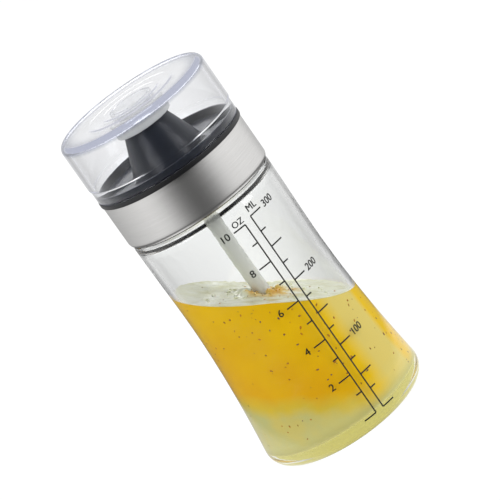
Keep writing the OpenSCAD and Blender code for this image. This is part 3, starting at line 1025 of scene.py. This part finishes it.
def scale_marks():
    """Two upright lines with their ticks: ounces to the left and millilitres to the right."""
    ounce_x, ml_x = SCALE_X - 2 * MM, SCALE_X + 2 * MM
    flats = []
    zero, digit_size = 7.0 * MM, 4.5 * MM
    for x, top, side, long_tick, short_tick, labels in (
            (ounce_x, mark_height(10 * OUNCE_ML), -1, 6 * MM, 2.8 * MM, "oz"),
            (ml_x, mark_height(300), 1, 6.2 * MM, 2.9 * MM, "ml")):
        flats.append(flat_bar(x - LINE_W / 2, x + LINE_W / 2, zero, top))
        if labels == "oz":
            marks = [(n, mark_height(n * OUNCE_ML), n % 2 == 0) for n in range(11)]
            named = {n: str(n) for n in (2, 4, 6, 8, 10)}
        else:
            marks = [(n, mark_height(n), n % 50 == 0) for n in range(0, 301, 25)]
            named = {n: str(n) for n in (100, 200, 300)}
        for n, z, is_long in marks:
            z = zero if n == 0 else z
            reach = long_tick if is_long else short_tick
            ends = sorted((x, x + side * reach))
            flats.append(flat_bar(ends[0], ends[1], z - LINE_W / 2, z + LINE_W / 2))
            if n in named:
                gap, align = (1.4 * MM, "LEFT") if side > 0 else (2.1 * MM, "RIGHT")
                flats += flat_text(named[n], x + side * (reach + gap), z, digit_size, align)
    top = mark_height(300)
    flats += flat_text("OZ", ounce_x - 2.4 * MM, top + 1.0 * MM, 3.8 * MM, "CENTER")
    flats += flat_text("ML", ml_x + 2.65 * MM, top + 3.0 * MM, 4.2 * MM, "CENTER")
    return flats


scale_print = wrap_on_glass("printed_scale", scale_marks(), SCALE_TURN)
finish_piece(scale_print, INK, "bottle")


# Floor, world, lamps and camera

# Brightness of the studio by direction, as turn_mask counts it: a dark camera side between two bright
# side walls. One set is for reflections, one for what clear walls bend and turn back, and one for what
# is seen straight through them, where front and back are alike and the sides are pale.
MIRRORED = [
    (0.0, 0.60), (0.06, 0.42), (0.12, 0.52), (0.22, 0.74), (0.31, 0.94), (0.36, 0.84), (0.40, 0.54),
    (0.43, 0.26), (0.47, 0.07), (0.50, 0.03), (0.54, 0.08), (0.58, 0.30), (0.61, 0.62), (0.65, 0.90),
    (0.72, 1.0), (0.84, 0.92), (0.92, 0.55), (1.0, 0.60)]
TO_THE_LEFT = [
    (0.0, 1.0), (0.008, 0.92), (0.0133, 0.86), (0.0206, 0.79), (0.03, 0.66), (0.047, 0.50),
    (0.075, 0.38), (0.11, 0.70), (0.15, 1.0)]
TO_THE_RIGHT = [
    (0.85, 1.0), (0.89, 0.70), (0.925, 0.40), (0.953, 0.54), (0.97, 0.68), (0.979, 0.79),
    (0.987, 0.86), (0.992, 0.92), (1.0, 1.0)]
BENT = TO_THE_LEFT + [
    (0.20, 0.80), (0.26, 0.40), (0.33, 0.18), (0.40, 0.08), (0.50, 0.04), (0.60, 0.06), (0.68, 0.18),
    (0.74, 0.40), (0.80, 0.80)] + TO_THE_RIGHT
SEEN_THROUGH = TO_THE_LEFT + TO_THE_RIGHT


def studio_brightness(tree, direction, rays):
    """Brightness for a ray that left the object in this direction, by what it met on its way."""
    x, y, _ = split_axes(tree, direction)
    seen_through = turn_mask(tree, x, add_math(tree, "ABSOLUTE", y), SEEN_THROUGH)
    turned_back = add_math(tree, "GREATER_THAN", rays.outputs["Glossy Depth"], 0.5)
    passed = add_mix(tree, turned_back, seen_through, turn_mask(tree, x, y, BENT))
    return add_mix(tree, rays.outputs["Is Transmission Ray"], turn_mask(tree, x, y, MIRRORED), passed)


# What the floor adds to reflections, by distance from the bottle in metres: its middle is painted dark for
# reflections only, a painted shade the camera never sees
NEAR_FLOOR = [(0.0, 1.0), (0.12, 1.0), (0.15, 0.15), (0.30, 0.15), (0.42, 1.0)]
STAGE_R = 6
FLOOR_GLOW = 0.88
FLOOR_STRENGTH = 1.08


def make_floor():
    """White to the camera, the studio's walls to reflections and glass; it keeps the shadow."""
    deselect()
    bpy.ops.mesh.primitive_circle_add(vertices=64, radius=STAGE_R, fill_type="NGON")
    floor = bpy.context.object
    floor.name = "studio_floor"
    material, tree, shader, output = new_material("white_floor", Base_Color=(0.8, 0.8, 0.8, 1), Roughness=0.9)
    rays = tree.nodes.new("ShaderNodeLightPath")
    camera_ray, glossy_ray, glass_ray = (
        rays.outputs[label] for label in ("Is Camera Ray", "Is Glossy Ray", "Is Transmission Ray"))
    place = object_place(tree)
    away = tree.nodes.new("ShaderNodeVectorMath")
    away.operation = "LENGTH"
    tree.links.new(place, away.inputs[0])
    # Painted shade: near the bottle the floor turns dark to reflections only
    near = add_ramp(tree, away.outputs["Value"], NEAR_FLOOR)
    mirror = add_mix(tree, glass_ray, near, (1, 1, 1, 1))
    shaded = add_mix(tree, 1.0, studio_brightness(tree, place, rays), mirror, "MULTIPLY")
    glow = tree.nodes.new("ShaderNodeEmission")
    glow.inputs["Strength"].default_value = FLOOR_STRENGTH
    tree.links.new(add_mix(tree, camera_ray, shaded, (1, 1, 1, 1)), glow.inputs["Color"])
    seen = add_math(tree, "MAXIMUM", add_math(tree, "MAXIMUM", camera_ray, glossy_ray), glass_ray)
    mix_shaders(tree, add_math(tree, "MULTIPLY", seen, FLOOR_GLOW), shader, glow, output)
    floor.data.materials.append(material)


def make_world():
    """White to the camera, and the studio's walls to all that the object mirrors or shows."""
    world = bpy.data.worlds.new("studio")
    bpy.context.scene.world = world
    world.use_nodes = True
    tree = world.node_tree
    tree.nodes.clear()
    output = tree.nodes.new("ShaderNodeOutputWorld")
    white = tree.nodes.new("ShaderNodeBackground")
    white.inputs["Color"].default_value = (1, 1, 1, 1)
    around = tree.nodes.new("ShaderNodeBackground")
    rays = tree.nodes.new("ShaderNodeLightPath")
    direction = tree.nodes.new("ShaderNodeTexCoord").outputs["Generated"]
    tree.links.new(studio_brightness(tree, direction, rays), around.inputs["Color"])
    mix_shaders(tree, rays.outputs["Is Camera Ray"], around, white, output)


def area_lamp(name, place, aim, size, power, size_y=None):
    data = bpy.data.lights.new(name, "AREA")
    data.energy = power
    data.shape = "RECTANGLE"
    data.size = size
    data.size_y = size_y or size
    lamp = bpy.data.objects.new(name, data)
    bpy.context.collection.objects.link(lamp)
    lamp.location = place
    lamp.rotation_mode = "QUATERNION"
    lamp.rotation_quaternion = (Vector(aim) - Vector(place)).to_track_quat("-Z", "Y")
    return lamp


def make_camera():
    data = bpy.data.cameras.new("photo_camera")
    data.lens = CAM_LENS
    data.sensor_width = 36
    data.clip_start = 0.01
    camera = bpy.data.objects.new("photo_camera", data)
    bpy.context.collection.objects.link(camera)
    back = Vector((0, -math.cos(CAM_ELEVATION), math.sin(CAM_ELEVATION)))
    camera.location = CAM_AIM + back * CAM_DISTANCE
    look = (-back).to_track_quat("-Z", "Y").to_matrix()
    camera.rotation_mode = "QUATERNION"
    camera.rotation_quaternion = (look @ Matrix.Rotation(-CAM_ROLL, 3, "Z")).to_quaternion()
    bpy.context.scene.camera = camera


make_floor()
make_world()
CENTRE = (0, 0, 0.085)
key = area_lamp("key_left", (-0.8, -0.7, 0.75), CENTRE, 0.5, 4.6, 0.9)
fill = area_lamp("fill_right", (0.9, -0.5, 0.45), CENTRE, 0.4, 3.4, 0.9)
back = area_lamp("back_top", (0.1, 0.9, 0.9), CENTRE, 0.8, 5)
for lamp in (key, fill, back):
    lamp.visible_glossy = False
make_camera()
bpy.context.scene.view_settings.view_transform = "Standard"
